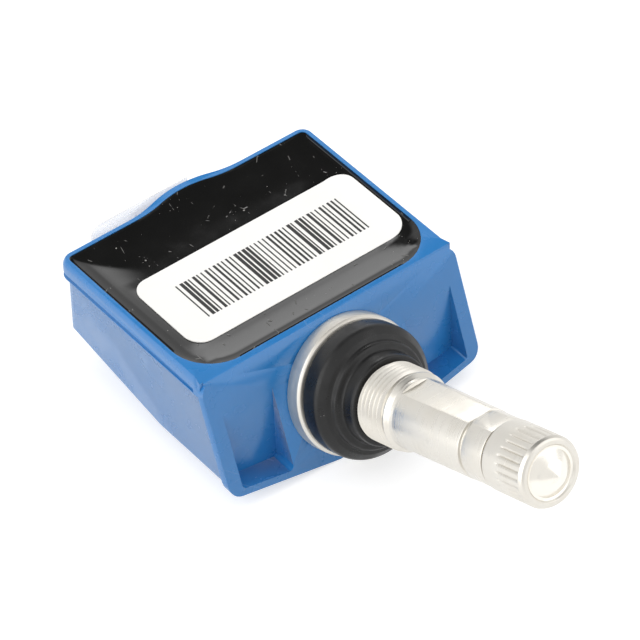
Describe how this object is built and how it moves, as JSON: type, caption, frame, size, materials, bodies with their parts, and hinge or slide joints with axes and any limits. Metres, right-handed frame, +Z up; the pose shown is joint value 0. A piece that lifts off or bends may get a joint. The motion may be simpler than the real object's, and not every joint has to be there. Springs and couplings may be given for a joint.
{
  "type": "tyre pressure sensor",
  "caption": "Tyre pressure sensor: potted plastic housing with a wide flange, sloping metal valve stem, rubber rim grommet and fluted cap.",
  "frame": {"origin": "on the stem axis, halfway along the grommet's neck, where the wheel's valve hole sits", "axes": "+X to the housing's right seen from the stem side, +Y from the stem into the housing, +Z up, square to the housing's rim; the stem points along -Y and rises 20.25 degrees"},
  "size_m": [0.038, 0.0709, 0.0259],
  "materials": {
    "housing_plastic": "blue moulded nylon, semi-gloss",
    "potting_resin": "poured black resin, glossy and slightly dusty",
    "label_film": "white printed film, satin",
    "label_ink": "black print, matte",
    "clear_film": "pale see-through adhesive film",
    "board_laminate": "green solder mask",
    "cell_can": "plated can, satin",
    "tab_metal": "tinned strip",
    "chip_mould": "black moulded package",
    "port_rubber": "pale silicone rubber",
    "ferrite": "dark sintered ferrite",
    "winding_wire": "enamelled copper wire",
    "crystal_can": "metal can",
    "capacitor_body": "tan ceramic",
    "stem_metal": "satin turned",
    "washer_metal": "turned, satin",
    "grommet_rubber": "black rubber, satin",
    "core_brass": "turned",
    "core_rubber": "black seal",
    "spring_wire": "spring wire",
    "cap_metal": "satin, polished on the cone"
  },
  "bodies": {
    "sensor": {"housing": "housing_plastic", "potting": "potting_resin", "label": "label_film", "label_bars": "label_ink", "back_film": "clear_film", "circuit_board": "board_laminate", "coin_cell": "cell_can", "cell_tab_positive": "tab_metal", "cell_tab_negative": "tab_metal", "pressure_chip": "chip_mould", "port_seal": "port_rubber", "antenna_core": "ferrite", "antenna_winding": "winding_wire", "crystal": "crystal_can", "capacitors": "capacitor_body", "valve_stem": "stem_metal", "seat_washer": "washer_metal", "rim_grommet": "grommet_rubber", "core_barrel": "core_brass", "core_gasket": "core_rubber", "core_spring": "spring_wire"},
    "cap": {"valve_cap": "cap_metal", "cap_seal": "core_rubber"},
    "pin": {"core_pin": "core_brass", "core_cup": "core_brass", "core_seal": "core_rubber"}
  },
  "joints": [
    {"name": "cap_off", "type": "slide", "parent": "sensor", "child": "cap", "axis": [0, -0.9382, 0.3461], "range_m": [0, 0.012]},
    {"name": "pin_press", "type": "slide", "parent": "sensor", "child": "pin", "axis": [0, 0.9382, -0.3461], "range_m": [0, 0.0012], "stiffness_N_per_m": 400, "springref_m": -0.004, "deforming": ["core_spring"]}
  ]
}
